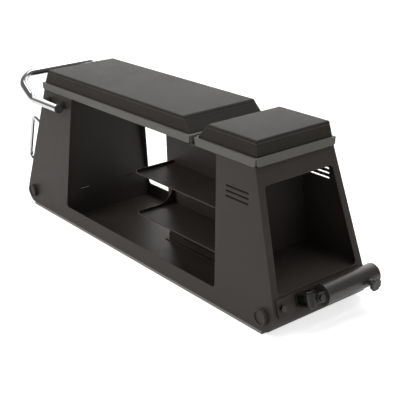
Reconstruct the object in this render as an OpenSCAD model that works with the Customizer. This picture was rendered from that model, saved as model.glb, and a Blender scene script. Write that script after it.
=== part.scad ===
// Multifunction weight bench: a folded sheet body with open storage bays, a flat seat,
// a hinged backrest, a carry handle at the head end and a swivelling bar socket at the
// foot end. Millimetres, +Z up, the head end towards -X, standing on z = 0.

/* [Body] */
// Length of the body along its base
base_len = 1232; // [1150:1:1350]
// Width of the body along its base
base_w = 323; // [300:1:360]
// Height of the side panels
body_h = 407.2; // [395:0.1:430]
// Lean of the side panels from upright, in degrees
side_lean = 4.93; // [4:0.01:5.5]
// Lean of the head end from upright, in degrees
head_lean = 18.36; // [15:0.01:20]
// Lean of the foot end from upright, in degrees
foot_lean = 16.13; // [14:0.01:18]
// Thickness of the body's sheet
sheet = 3; // [2:0.1:4]
// Outer radius of the bend between the floor and each end
bend_r = 40; // [30:1:50]
// Thickness of the strips that the body stands on
strip_t = 8; // [5:0.5:15]
// Width of the strips that the body stands on
strip_w = 35; // [25:1:50]

/* [Windows] */
// Height of the side windows' lower edge above the panels' bottom
window_sill = 44; // [35:1:70]
// Distance of the side windows from the partitions, at the sill
window_inset = 7.5; // [4:0.5:20]
// How far the head side of a side window leans inwards over its height
window_lean_head = 28; // [0:1:40]
// How far the foot side of a side window leans inwards over its height
window_lean_foot = 19; // [0:1:40]
// Height of the band that is left above the side windows
window_band = 18; // [14:1:30]
// Corner radius of all windows
window_r = 10; // [6:1:16]
// Width of the stiles beside the end windows
stile_w = 20.5; // [15:0.5:35]
// Height of the end windows' lower edge above the panels' bottom
end_sill = 94.5; // [91:0.5:120]
// Height of the end windows
end_window_h = 249; // [200:1:260]
// Length of the plain slots in the side panels
slot_len = 84; // [40:1:90]
// Height of one plain slot
slot_h = 5; // [4:0.5:8]
// Distance between neighbouring plain slots
slot_pitch = 13; // [11:0.5:16]
// Number of plain slots in each side panel
slot_count = 3; // [1:1:4]

/* [Bays and shelves] */
// Length of the head bay along the base
head_bay = 257; // [200:1:280]
// Length of the foot bay along the base
foot_bay = 228; // [190:1:250]
// Height of the foot bay's floor above the panels' bottom
bay_floor_h = 86.5; // [80:0.5:88]
// Width of the tabs that hold the foot bay's floor
tab_w = 33; // [20:1:45]
// Distance between the middles of the two tabs
tab_pitch = 165; // [100:1:180]
// Length of the centre web
web_len = 410; // [330:1:480]
// Size of the angle along the web's foot
angle_leg = 17; // [12:1:25]
// Length of the shelves
shelf_len = 380; // [300:1:400]
// Depth of a shelf from the web
shelf_depth = 127.5; // [110:0.5:130]
// Height of the lower shelf's top above the panels' bottom
shelf_low = 125; // [100:1:140]
// Height of the upper shelf's top above the panels' bottom
shelf_high = 247; // [220:1:260]
// Height of the lip at the open end of a shelf
lip_h = 7; // [5:0.5:15]
// Radius of the lip's sweep up the web
lip_r = 50; // [30:1:70]

/* [Seat and backrest] */
// Thickness of the trays' sheet
tray_t = 3; // [2:0.1:4]
// Height of a tray's flange over all
flange_h = 20.2; // [16:0.1:24]
// How far the trays stand over the ends of the body
tray_overhang = 6; // [4:0.5:12]
// Length of the seat's tray
seat_len = 231; // [200:1:260]
// Gap between the two trays
tray_gap = 16; // [15:0.5:20]
// Height of the pads at their edges
pad_h = 39.5; // [35:0.5:60]
// How much higher the pads stand in their middle
pad_crown = 2; // [1:0.1:6]
// Distance from the pads' foot to the trays' edges
pad_margin = 6; // [3:0.5:10]
// Distance from the backrest pad to its tray's edge at the hinge
back_gap_margin = 16; // [10:0.5:20]
// Distance from the seat pad to its tray's edge at the hinge
seat_gap_margin = 10; // [8:0.5:16]
// Slope of the backrest pad's end at the hinge over its height
back_bevel = 26; // [15:0.5:32]
// Slope of the seat pad's end at the hinge over its height
seat_bevel = 36.5; // [25:0.5:40]
// Slope of the pads' other sides over their height
pad_slope = 6; // [2:0.5:10]
// Slope of the backrest pad's head end over its height
head_slope = 14; // [6:0.5:20]
// Thickness of the boards inside the pads
board_t = 12; // [9:0.5:15]
// Distance of the boards from the pads' foot edges
board_in = 8; // [6:0.5:12]
// Radius of the bolts that hold the pads
pad_bolt_r = 3; // [2.5:0.5:4]

/* [Backrest hinge and lock] */
// Largest angle of the backrest, in degrees
back_angle = 75; // [60:1:80]
// Number of lock holes in the quadrant
lock_holes = 7; // [4:1:7]
// Depth of the hinge axis below the trays' top
hinge_drop = 7.5; // [7.2:0.1:8]
// Radius of the hinge pins
hinge_pin_r = 4; // [3:0.1:4.5]
// Outer radius of the hinge eyes
hinge_eye_r = 7; // [6:0.1:7.4]
// Thickness of the hinge plates
hinge_plate = 5; // [4:0.5:8]
// Distance from the middle to the inner face of the fixed hinge plates
hinge_y = 105; // [80:1:108]
// Radius of the quadrant's hole circle
quad_r = 85; // [78:1:90]
// Width of the quadrant's rim
quad_w = 30; // [26:1:34]
// Thickness of the quadrant
quad_t = 6; // [4:0.5:8]
// Depth of the lock pin below the hinge axis
lock_drop = 40; // [36:1:44]
// Radius of the lock pin
lock_r = 5; // [4:0.1:5.5]
// Travel of the lock pin
lock_travel = 12; // [10:0.5:14]
// Length of the lock pin's housing
housing_len = 22; // [16:1:28]
// Radius of the lock pin's housing
housing_r = 9; // [8:0.5:11]
// Radius of the lock knob
lock_knob_r = 13; // [10:0.5:15]
// Length of the lock knob
lock_knob_len = 22; // [16:1:26]

/* [Handles and pegs] */
// Outer diameter of the carry handle's tube
handle_d = 25.4; // [22:0.1:28]
// Wall of the carry handle's tube
handle_wall = 2; // [1.5:0.1:3]
// Depth of the carry handle's straight ends below the panels' top
handle_drop = 47.2; // [40:0.1:60]
// Clear distance between the carry handle and the side panels
handle_gap = 17; // [12:0.5:30]
// Distance of the carry handle's first bolt from the head partition
boss_clear = 8; // [7:0.5:14]
// Reach of the carry handle's straight ends beyond the head end
handle_knee = 11; // [5:1:30]
// Horizontal reach of the carry handle's sloping arms
handle_reach = 92; // [85:1:110]
// Rise of the carry handle's sloping arms
handle_rise = 60; // [40:1:70]
// Bend radius of the carry handle, to the tube's middle
handle_bend = 60; // [50:1:64]
// Distance from the tube's end to its first boss
boss_inset = 21; // [16:1:30]
// Distance between the two bosses on one side
boss_pitch = 82; // [60:1:95]
// Radius of the bosses
boss_r = 12; // [10:0.5:14]
// Diameter of the carry handle's bolts
handle_bolt_d = 8; // [6:0.5:9]
// Diameter of the grab handles' rod
grab_d = 12; // [9:0.5:14]
// Distance of the grab handles from the middle
grab_y = 130; // [110:1:131]
// Height of the grab handles' lower foot above the panels' bottom
grab_low = 126; // [110:1:140]
// Distance between a grab handle's feet, along the head end
grab_h = 154; // [120:1:160]
// Distance of the grab handles' rod from the head end
grab_reach = 50; // [40:1:60]
// Bend radius of the grab handles, to the rod's middle
grab_bend = 14; // [12:1:20]
// Radius of the bolts that hold the band pegs
peg_bolt_r = 5; // [3:0.5:6]
// Radius of the band pegs
peg_r = 20; // [15:0.5:26]
// How far the band pegs stand out from the side panels
peg_len = 12; // [8:0.5:25]

/* [Bar socket] */
// Inner diameter of the bar socket
socket_bore = 51; // [50.5:0.1:52]
// Wall of the bar socket
socket_wall = 1.5; // [1.5:0.1:3]
// Length of the bar socket
socket_len = 178; // [150:1:200]
// Distance of the socket's middle line from the foot end
socket_off = 41; // [38:0.5:55]
// Height of the socket's foot point on the foot end, above the panels' bottom
socket_h = 71.5; // [64:0.5:76]
// Distance of the upright swivel bolt from the middle
swivel_y = 72; // [60:1:90]
// Distance between the two swivel bolts
swivel_pitch = 20; // [19:0.5:24]
// Diameter of the two swivel bolts
swivel_d = 10; // [8:0.1:10]
// Half height of the cross block
block_half = 12.7; // [11:0.1:13]
// Thickness of the yoke's ears and the socket's ears
ear_t = 4; // [3:0.5:5]
// Thickness of the base plate
plate_t = 5; // [4:0.5:6]
// Height of the base plate's middle above the panels' bottom
plate_mid = 65.5; // [62:0.5:70]
// Height of the base plate along the foot end
plate_h = 46.8; // [40:0.1:48]
// Length of the base plate
plate_len = 292; // [240:1:296]
// Distance between the base plate's bolts
plate_bolt_pitch = 262; // [200:1:264]
// Diameter of the base plate's bolts
plate_bolt_d = 10; // [8:0.5:12]
// Distance of the clamp screw from the socket's mouth
clamp_inset = 37; // [30:1:60]
// Turn of the clamp screw below the straight outward line, in degrees
clamp_turn = 20; // [0:1:90]
// Radius of the clamp screw
clamp_screw_r = 4; // [3:0.5:5]
// Radius of the threaded boss on the socket
clamp_boss_r = 9; // [7:0.5:11]
// Height of the threaded boss over the socket
clamp_boss_len = 8; // [5:0.5:15]
// Distance between the threaded boss and the clamp knob
clamp_seat = 1; // [0.5:0.5:5]
// Radius of the clamp knob
clamp_knob_r = 17; // [14:0.5:22]
// Length of the clamp knob
clamp_knob_len = 12; // [9:0.5:20]

/* [Fits] */
// Running clearance of pins and bolts, on the radius
run_fit = 0.06; // [0.02:0.01:0.1]
// Clearance between parts that lie side by side
side_gap = 0.3; // [0.2:0.05:0.5]
// Clearance of bolts in through holes, on the radius
bolt_fit = 0.2; // [0.1:0.05:0.5]

/* [Hidden] */
$fn = 48;

paint = [0.30, 0.29, 0.28];
tray_paint = [0.52, 0.52, 0.50];
black = [0.12, 0.12, 0.12];

// Heights that the body and the trays share
body_z0 = strip_t;
body_z1 = body_z0 + body_h;
side_t = sheet / cos(side_lean);
tray_z0 = body_z1 + side_gap;
tray_z1 = tray_z0 + tray_t;
flange_z = tray_z1 - flange_h;

// Directions along and out of the two leaning ends
foot_up = [-sin(foot_lean), 0, cos(foot_lean)];
foot_out = [cos(foot_lean), 0, sin(foot_lean)];
head_up = [sin(head_lean), 0, cos(head_lean)];
head_out = [-cos(head_lean), 0, sin(head_lean)];

// Thickness of bolt heads and nuts, the gap at a bolt's tip, and the swivel bolts' end past the nut
bolt_head_t = 5;
tip_gap = 0.5;
// Heads of the pads' bolts and the wood that is left over their tips
pad_head_t = 4;
pad_tip_wood = 2;
// Hinge brackets: thickness of their arms, distance to the tray's flange and lip inside the plate
bracket_t = 4;
bracket_gap = 2;
bracket_lip = 10;
// Width of the quadrant's foot under the tray, and its gap to the web
quad_foot = 20;
quad_gap = 0.7;
// Gap between the lock's housing and its knob when the pin is in
knob_gap = 2;
// Caps of the carry handle: thickness, rim over the tube and length inside it
plug_t = 5;
plug_rim = 1.3;
plug_in = 10;
// Closed end of the band pegs, and the groove in their faces: from the rim, width and depth
peg_end_t = 4;
groove_in = 2;
groove_w = 1.5;
groove_depth = 1.5;
// Base plate: corner radius, washers, bolt heads, nuts and bolt ends inside the end sheet
plate_corner = 5;
washer_t = 1.5;
plate_head_t = 6;
plate_nut_t = 8;
plate_bolt_in = 12;
// How far the yoke's foot stands out round its ears
yoke_foot = 4;

// How far a rod's straight lengths reach into its bends, and how much thinner the bends are
lap = 1;
hair = 0.1;

socket_r = socket_bore / 2 + socket_wall;
clamp_reach = socket_r + clamp_boss_len + clamp_seat + clamp_knob_len;

// How far the grab handles, the carry handle and the clamp knob reach from the body's middle
grab_tip = base_len / 2 - grab_low * tan(head_lean) + (grab_reach - grab_bend) * cos(head_lean)
    - grab_bend * sin(head_lean) + grab_bend + grab_d / 2;
carry_tip = base_len / 2 - (body_h - handle_drop) * tan(head_lean) + handle_knee + handle_reach + handle_d / 2;
clamp_tip = base_len / 2 - socket_h * tan(foot_lean) + socket_off * cos(foot_lean)
    + clamp_reach * cos(foot_lean - clamp_turn) + clamp_knob_r * abs(sin(foot_lean - clamp_turn));
// The body's middle, set so that the whole bench is centred on the origin
middle = (max(grab_tip, carry_tip) - clamp_tip) / 2;

function half_w(z) = base_w / 2 - (z - body_z0) * tan(side_lean);
function inner_w(z) = half_w(z) - side_t;
function head_x(z) = middle - base_len / 2 + (z - body_z0) * tan(head_lean);
function foot_x(z) = middle + base_len / 2 - (z - body_z0) * tan(foot_lean);

// Middles of the two lower bends
bend_head_x = head_x(body_z0) + bend_r * (tan(head_lean) + 1 / cos(head_lean));
bend_foot_x = foot_x(body_z0) - bend_r * (tan(foot_lean) + 1 / cos(foot_lean));
bend_z = body_z0 + bend_r;

// Faces of the partitions that look at the middle bay
part_head_x = head_x(body_z0) + head_bay;
part_foot_x = foot_x(body_z0) - foot_bay;
bay_z0 = body_z0 + bay_floor_h;
floor_z1 = body_z0 + sheet;
web_x0 = part_foot_x - web_len;
shelf_x0 = part_foot_x - shelf_len;

// Trays, hinge and lock
tray_w = half_w(flange_z) + side_gap + tray_t;
back_x0 = head_x(flange_z) - tray_overhang;
seat_x1 = foot_x(flange_z) + tray_overhang;
seat_x0 = seat_x1 - seat_len;
back_x1 = seat_x0 - tray_gap;
hinge_x = seat_x0 - tray_gap / 2;
hinge_z = tray_z1 - hinge_drop;
hinge_sweep = norm([tray_gap / 2 + tray_t, hinge_z - flange_z]);
bracket_z1 = flange_z - bracket_gap;
web_z1 = bracket_z1 - bracket_t;
eye_y = hinge_y - side_gap - hinge_plate;
lock_x = hinge_x - sqrt(quad_r * quad_r - lock_drop * lock_drop);
lock_z = hinge_z - lock_drop;
lock_angle = 180 + asin(lock_drop / quad_r);
quad_y = sheet / 2 + quad_gap;
web_gap = sheet / 2;

// Carry handle
handle_z = body_z1 - handle_drop;
handle_y = half_w(handle_z) + handle_gap + handle_d / 2;
boss_x = [part_head_x - sheet - boss_clear, part_head_x - sheet - boss_clear - boss_pitch];
handle_end = boss_x[0] + boss_inset;
knee_x = head_x(handle_z) - handle_knee;
bar_x = knee_x - handle_reach;
bar_z = handle_z + handle_rise;
arm = [-handle_reach, 0, handle_rise] / norm([handle_reach, handle_rise]);
knee_cut = handle_bend * tan(atan(handle_rise / handle_reach) / 2);

// Bar socket, in the swivel's own frame: x along the socket, y up the foot end, z out of it
ear_in = block_half + side_gap;
ear_out = ear_in + ear_t;
ear_r = block_half - 0.2;
block_tail = 8;
yoke_r = 12;
socket_x0 = swivel_pitch + norm([block_tail, block_half]) + 1;
socket_x1 = socket_x0 + socket_len;
clamp_x = socket_x1 - clamp_inset;
plate_z = body_z0 + plate_mid;
swivel_z = body_z0 + socket_h;

// Corner of an outline, rounded: its points on the outline, and its circle's middle and radius
function unit(v) = v / norm(v);
function corner(a, p, b, r) =
    let (u = unit(a - p), v = unit(b - p), half = acos(u * v) / 2, cut = r / tan(half))
    r > 0 ? [[p + u * cut, p + v * cut], p + unit(u + v) * r / sin(half), r] : [[p], p, 0];

// Convex outline with round corners; r is one radius, or a list with one for each corner
module rounded(points, r) {
    n = len(points);
    corners = [for (i = [0 : n - 1])
        corner(points[(i + n - 1) % n], points[i], points[(i + 1) % n], is_list(r) ? r[i] : r)];
    polygon([for (c = corners) each c[0]]);
    for (c = corners)
        if (c[2] > 0) translate(c[1]) circle(r = c[2]);
}

// Puts a shape drawn in x, y, z at p with its axes along the given directions
module place(p, x, y, z) {
    multmatrix([[x[0], y[0], z[0], p[0]], [x[1], y[1], z[1], p[1]], [x[2], y[2], z[2], p[2]]])
        children();
}

// Outline drawn in length and height, extruded across the bench from y0 to y1
module across(y0, y1) {
    translate([0, y1, 0]) rotate([90, 0, 0]) linear_extrude(y1 - y0) children();
}

// Outline drawn in width and height, extruded along the bench from x0 to x1
module along(x0, x1) {
    translate([x0, 0, 0]) rotate([90, 0, 90]) linear_extrude(x1 - x0) children();
}

// Round bar across the bench, from y0 to y1
module bar_y(x, z, y0, y1, r) {
    translate([x, y1, z]) rotate([90, 0, 0]) cylinder(h = y1 - y0, r = r);
}

// Everything between the side panels' inner faces, from x0 to x1 and z0 to z1
module between(x0, x1, z0, z1) {
    along(x0, x1) polygon([[-inner_w(z0), z0], [inner_w(z0), z0], [inner_w(z1), z1], [-inner_w(z1), z1]]);
}

// Wedge outside one side panel, from x0 to x1 and z0 to z1
module outside(side, x0, x1, z0, z1) {
    far = side * base_w;
    along(x0, x1) polygon([[side * half_w(z0), z0], [far, z0], [far, z1], [side * half_w(z1), z1]]);
}

// The body's side outline, moved inwards by t at its floor and ends
module body_outline(t = 0) {
    top = body_z1 + (t > 0 ? 1 : 0);
    dx_head = t / cos(head_lean);
    dx_foot = t / cos(foot_lean);
    low = body_z0 + t;
    rounded([[head_x(low) + dx_head, low], [foot_x(low) - dx_foot, low],
             [foot_x(top) - dx_foot, top], [head_x(top) + dx_head, top]],
            [bend_r - t, bend_r - t, 0, 0]);
}

module side_window() {
    low = body_z0 + window_sill;
    top = body_z1 - window_band;
    x0 = part_head_x + window_inset;
    x1 = part_foot_x - window_inset;
    rounded([[x0, low], [x1, low], [x1 - window_lean_foot, top], [x0 + window_lean_head, top]], window_r);
}

// Row of plain round-ended slots above one another, beside the foot bay
module plain_slots() {
    mid_x = (part_foot_x + foot_x(flange_z)) / 2;
    mid_z = body_z0 + end_sill + end_window_h * 0.86;
    for (i = [0 : slot_count - 1]) {
        z = mid_z + (i - (slot_count - 1) / 2) * slot_pitch;
        for (s = [-1, 1]) translate([mid_x + s * (slot_len - slot_h) / 2, z]) circle(d = slot_h);
        translate([mid_x, z]) square([slot_len - slot_h, slot_h], center = true);
    }
}

module side_panel(side) {
    far = base_w;
    z0 = body_z0 - 1;
    z1 = body_z1 + 1;
    color(paint) intersection() {
        across(-far, far) difference() {
            body_outline();
            side_window();
            plain_slots();
            // Room for the end flanges of the two trays and for the sweep of the hinged one
            translate([hinge_x - hinge_sweep - 1, flange_z - side_gap])
                square([hinge_sweep + 1 + tray_gap / 2 + tray_t + side_gap, flange_h]);
            for (x = boss_x) translate([x, handle_z]) circle(r = handle_bolt_d / 2 + bolt_fit);
            for (x = [bend_head_x, bend_foot_x]) translate([x, bend_z]) circle(r = peg_bolt_r + bolt_fit);
        }
        along(middle - base_len, middle + base_len)
            polygon([[side * half_w(z0), z0], [side * inner_w(z0), z0],
                     [side * inner_w(z1), z1], [side * half_w(z1), z1]]);
    }
}

// Folded end wall with its lower bend, from x0 to x1, without the flat floor
module end_sheet(x0, x1) {
    intersection() {
        across(-base_w / 2, base_w / 2) difference() {
            body_outline();
            body_outline(sheet);
            translate([bend_head_x, body_z0 - 1]) square([bend_foot_x - bend_head_x, sheet + 2]);
        }
        between(x0, x1, body_z0, body_z1);
    }
}

// Window through an end wall, as wide as the stiles leave it
module end_window(x0, x1) {
    low = body_z0 + end_sill;
    top = low + end_window_h;
    w0 = half_w(low) - stile_w;
    w1 = half_w(top) - stile_w;
    along(x0, x1) rounded([[-w0, low], [w0, low], [w1, top], [-w1, top]], window_r);
}

module head_end_sheet() {
    color(paint) difference() {
        end_sheet(middle - base_len, middle);
        end_window(middle - base_len, middle);
    }
}

module foot_end_sheet() {
    color(paint) difference() {
        end_sheet(middle, middle + base_len);
        end_window(middle, middle + base_len);
        for (s = [-1, 1]) at_plate(s * plate_bolt_pitch / 2)
            translate([0, 0, -2 * sheet]) cylinder(h = 4 * sheet, r = plate_bolt_d / 2 + bolt_fit);
    }
}

module floor_sheet() {
    color(paint) between(bend_head_x, bend_foot_x, body_z0, floor_z1);
}

// Upright wall between the side panels, with two slots for a bay floor's tabs
module partition_wall(x0) {
    difference() {
        between(x0, x0 + sheet, floor_z1, body_z1);
        for (s = [-1, 1])
            translate([x0 - 1, s * tab_pitch / 2 - tab_w / 2 - side_gap, bay_z0 - side_gap])
                cube([sheet + 2, tab_w + 2 * side_gap, sheet + 2 * side_gap]);
    }
}

module head_partition() {
    color(paint) partition_wall(part_head_x - sheet);
}

module foot_partition() {
    color(paint) partition_wall(part_foot_x);
}

// Raised floor of the foot bay; its tabs pass through the partition
module foot_bay_floor() {
    color(paint) {
        intersection() {
            between(part_foot_x + sheet, middle + base_len, bay_z0, bay_z0 + sheet);
            across(-base_w, base_w) body_outline(sheet);
        }
        for (s = [-1, 1]) translate([part_foot_x - 0.5, s * tab_pitch / 2 - tab_w / 2, bay_z0])
            cube([sheet + 1, tab_w, sheet]);
    }
}

module centre_web() {
    color(paint) across(-web_gap, web_gap) difference() {
        translate([web_x0, floor_z1]) square([web_len, web_z1 - floor_z1]);
        translate([lock_x, lock_z]) circle(r = lock_r + bolt_fit);
    }
}

module web_angle() {
    color(paint) {
        translate([web_x0, -web_gap - angle_leg, floor_z1]) cube([web_len, angle_leg, sheet]);
        translate([web_x0, -web_gap - sheet, floor_z1]) cube([web_len, sheet, angle_leg]);
    }
}

// Shelf on one side of the web, with its top at z and a lip at its open end
module shelf(side, z) {
    y0 = side > 0 ? web_gap : -web_gap - shelf_depth;
    translate([shelf_x0, y0, z - sheet]) cube([shelf_len, shelf_depth, sheet]);
    translate([shelf_x0, y0, z]) cube([sheet, shelf_depth, lip_h]);
}

module upper_shelves() {
    color(paint) for (side = [-1, 1]) shelf(side, body_z0 + shelf_high);
}

// The lower shelves' lips sweep up along the web to the upper shelves
module lower_shelves() {
    z = body_z0 + shelf_low;
    top = body_z0 + shelf_high - sheet;
    color(paint) for (side = [-1, 1]) {
        shelf(side, z);
        mirror([0, side > 0 ? 0 : 1, 0]) along(shelf_x0, shelf_x0 + sheet) {
            translate([web_gap, z]) square([lip_h, top - z]);
            translate([web_gap, z]) difference() {
                square(lip_h + lip_r);
                translate([lip_h + lip_r, lip_h + lip_r]) circle(r = lip_r, $fn = 96);
            }
        }
    }
}

module foot_strips() {
    color(tray_paint) for (side = [-1, 1]) {
        y0 = side > 0 ? base_w / 2 - strip_w : -base_w / 2;
        translate([bend_head_x, y0, 0]) cube([bend_foot_x - bend_head_x, strip_w, strip_t]);
    }
}

// One flange of a tray, n long, with its lower corners cut
module flange_outline(n) {
    cut = 5;
    polygon([[0, tray_z0], [0, flange_z + cut], [cut, flange_z], [n - cut, flange_z],
             [n, flange_z + cut], [n, tray_z0]]);
}

// Sheet lid with a flange on all four sides, from x0 to x1, with holes for the pad's bolts
module tray(x0, x1, bolts) {
    relief = tray_t + 0.2;
    difference() {
        translate([0, 0, tray_z0]) linear_extrude(tray_t)
            rounded([[x0, -tray_w], [x1, -tray_w], [x1, tray_w], [x0, tray_w]], tray_t);
        for (b = bolts) translate([b[0], b[1], tray_z0 - 1])
            cylinder(h = tray_t + 2, r = pad_bolt_r + bolt_fit);
    }
    for (y = [-tray_w, tray_w - tray_t])
        translate([x0 + relief, 0, 0]) across(y, y + tray_t) flange_outline(x1 - x0 - 2 * relief);
    for (x = [x0, x1 - tray_t])
        translate([0, -tray_w + relief, 0]) along(x, x + tray_t) flange_outline(2 * (tray_w - relief));
}

// Places of a pad's bolts: two rows of n between x0 and x1
function bolt_places(x0, x1, n) =
    [for (i = [0 : n - 1], s = [-1, 1]) [x0 + (x1 - x0) * (i + 0.5) / n, s * tray_w * 0.6]];
seat_places = bolt_places(seat_x0, seat_x1, 2);
back_places = bolt_places(back_x0, back_x1, 4);

// Bolts from below through a tray into the pad's board
module pad_bolts(places) {
    for (b = places) translate([b[0], b[1], tray_z0 - pad_head_t]) {
        cylinder(h = pad_head_t, r = 2 * pad_bolt_r, $fn = 6);
        cylinder(h = pad_head_t + tray_t + board_t - pad_tip_wood, r = pad_bolt_r);
    }
}

// Board with holes for the bolts; the box is the pad's foot, as low and high x and half width
module pad_board(foot, places) {
    difference() {
        translate([foot[0] + board_in, -foot[2] + board_in, tray_z1])
            cube([foot[1] - foot[0] - 2 * board_in, 2 * (foot[2] - board_in), board_t]);
        for (b = places) translate([b[0], b[1], tray_z1 - 1])
            cylinder(h = board_t + 2, r = pad_bolt_r + run_fit);
    }
}

// Feet of the two pads: low x, high x and half width, and the slopes of their ends
back_foot = [back_x0 + pad_margin + 1.5, back_x1 - back_gap_margin, tray_w - pad_margin];
seat_foot = [seat_x0 + seat_gap_margin, seat_x1 - pad_margin, tray_w - pad_margin];

// Levels of a cushion: share of the height, inset of the edge and share of the drawn-in sides
levels = [[0, 1.5, 0], [0.06, 0, 0.3], [0.3, 0.4, 1], [0.62, 0.4, 1], [0.84, 0, 0.4], [0.93, 0.6, 0.2],
    [0.98, 2.2, 0.1], [1, 5, 0]];
// Rings on a cushion's top: share of the way from the rim to the ridge
crown_steps = [0.12, 0.3, 0.55, 0.8, 1];
corner_steps = 4;
side_steps = 8;

// One closed ring of a cushion: a rectangle with round corners and sides drawn in by pull
function ring(x0, x1, w, r, pull, z) =
    let (c = [[x1 - r, w - r, 0], [x0 + r, w - r, 90], [x0 + r, r - w, 180], [x1 - r, r - w, 270]])
    [for (i = [0 : 3]) each concat(
        [for (k = [0 : corner_steps])
            let (a = c[i][2] + 90 * k / corner_steps) [c[i][0] + r * cos(a), c[i][1] + r * sin(a), z]],
        [for (k = [1 : side_steps - 1])
            let (t = k / side_steps, a = c[i][2] + 90, n = c[(i + 1) % 4],
                 p = [c[i][0] + r * cos(a), c[i][1] + r * sin(a)],
                 q = [n[0] + r * cos(a), n[1] + r * sin(a)],
                 s = p + (q - p) * t, in = pull * 4 * t * (1 - t))
            [s[0] - in * cos(a), s[1] - in * sin(a), z]])];

// Closed pad: sloped drawn-in sides, a rolled rim and a crowned top
module cushion(foot, slope_lo, slope_hi) {
    edge_r = 9;
    ridge = foot[2] - pad_slope - 12;
    sides = [for (v = levels)
        ring(foot[0] + slope_lo * v[0] + v[1], foot[1] - slope_hi * v[0] - v[1],
             foot[2] - pad_slope * v[0] - v[1], edge_r, 1.5 * v[2], tray_z1 + pad_h * v[0])];
    tops = [for (s = crown_steps) let (d = 5 + (ridge - 5) * s)
        ring(foot[0] + slope_lo + d, foot[1] - slope_hi - d, foot[2] - pad_slope - d,
             max(1, edge_r * (1 - s)), 0, tray_z1 + pad_h + pad_crown * (1 - (1 - s) * (1 - s)))];
    rings = concat(sides, tops);
    m = len(rings[0]);
    last = len(rings) - 1;
    mid_x = (foot[0] + foot[1]) / 2;
    points = concat([for (q = rings) each q],
        [[mid_x, 0, tray_z1], [mid_x, 0, tray_z1 + pad_h + pad_crown]]);
    faces = concat(
        [for (k = [0 : last - 1], i = [0 : m - 1]) each
            let (a = k * m + i, b = k * m + (i + 1) % m) [[a, a + m, b], [b, a + m, b + m]]],
        [for (i = [0 : m - 1]) [i, (i + 1) % m, len(rings) * m]],
        [for (i = [0 : m - 1]) [last * m + (i + 1) % m, last * m + i, len(rings) * m + 1]]);
    polyhedron(points, faces);
}

// Pad with a pocket for its board
module pad(foot, slope_lo, slope_hi) {
    gap = board_in - side_gap;
    difference() {
        cushion(foot, slope_lo, slope_hi);
        translate([foot[0] + gap, -foot[2] + gap, tray_z1 - 1])
            cube([foot[1] - foot[0] - 2 * gap, 2 * (foot[2] - gap), board_t + side_gap + 1]);
    }
}

module seat_tray() {
    color(tray_paint) tray(seat_x0, seat_x1, seat_places);
}

module seat_board() {
    color("burlywood") pad_board(seat_foot, seat_places);
}

module seat_pad() {
    color(black) pad(seat_foot, seat_bevel, pad_slope);
}

module seat_bolts() {
    color("silver") pad_bolts(seat_places);
}

module back_tray() {
    color(tray_paint) tray(back_x0, back_x1, back_places);
}

module back_board() {
    color("burlywood") pad_board(back_foot, back_places);
}

module back_pad() {
    color(black) pad(back_foot, head_slope, back_bevel);
}

module back_bolts() {
    color("silver") pad_bolts(back_places);
}

// Brackets on the side panels, each with a plate that holds a hinge pin
module hinge_brackets() {
    w = hinge_eye_r - 1;
    z0 = bracket_z1 - bracket_t;
    y_in = hinge_y - bracket_lip;
    color(paint) for (side = [-1, 1]) {
        along(hinge_x - 2 * hinge_eye_r, hinge_x + 2 * hinge_eye_r)
            polygon([[side * y_in, z0], [side * inner_w(z0), z0],
                     [side * inner_w(bracket_z1), bracket_z1], [side * y_in, bracket_z1]]);
        across(side > 0 ? hinge_y : -hinge_y - hinge_plate, side > 0 ? hinge_y + hinge_plate : -hinge_y)
            difference() {
                union() {
                    translate([hinge_x, hinge_z]) circle(r = hinge_eye_r);
                    translate([hinge_x - w, bracket_z1]) square([2 * w, hinge_z - bracket_z1]);
                }
                translate([hinge_x, hinge_z]) circle(r = hinge_pin_r + run_fit);
            }
    }
}

// Two hinge pins, each with a head outside and a nut inside
module hinge_pins() {
    head = 4;
    y_in = eye_y - side_gap - head;
    y_out = hinge_y + hinge_plate;
    color("silver") for (side = [0, 1]) mirror([0, side, 0]) {
        bar_y(hinge_x, hinge_z, y_in - 1, y_out + tip_gap, hinge_pin_r);
        bar_y(hinge_x, hinge_z, y_out, y_out + head, 1.5 * hinge_pin_r);
        difference() {
            bar_y(hinge_x, hinge_z, y_in, y_in + head, 1.5 * hinge_pin_r);
            bar_y(hinge_x, hinge_z, y_in - 1, y_in + head + 1, hinge_pin_r + run_fit);
        }
    }
}

// Eyes on the backrest tray's end flange, turning on the hinge pins
module hinge_eyes() {
    color(paint) for (side = [-1, 1])
        across(side > 0 ? eye_y : -eye_y - hinge_plate, side > 0 ? eye_y + hinge_plate : -eye_y)
            difference() {
                union() {
                    translate([hinge_x, hinge_z]) circle(r = hinge_eye_r);
                    polygon([[back_x1, hinge_z - hinge_eye_r - 2], [hinge_x, hinge_z - hinge_eye_r],
                             [hinge_x, hinge_z + hinge_eye_r], [back_x1, hinge_z + hinge_eye_r]]);
                }
                translate([hinge_x, hinge_z]) circle(r = hinge_pin_r + run_fit);
            }
}

function polar(r, a) = [r * cos(a), r * sin(a)];

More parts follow.
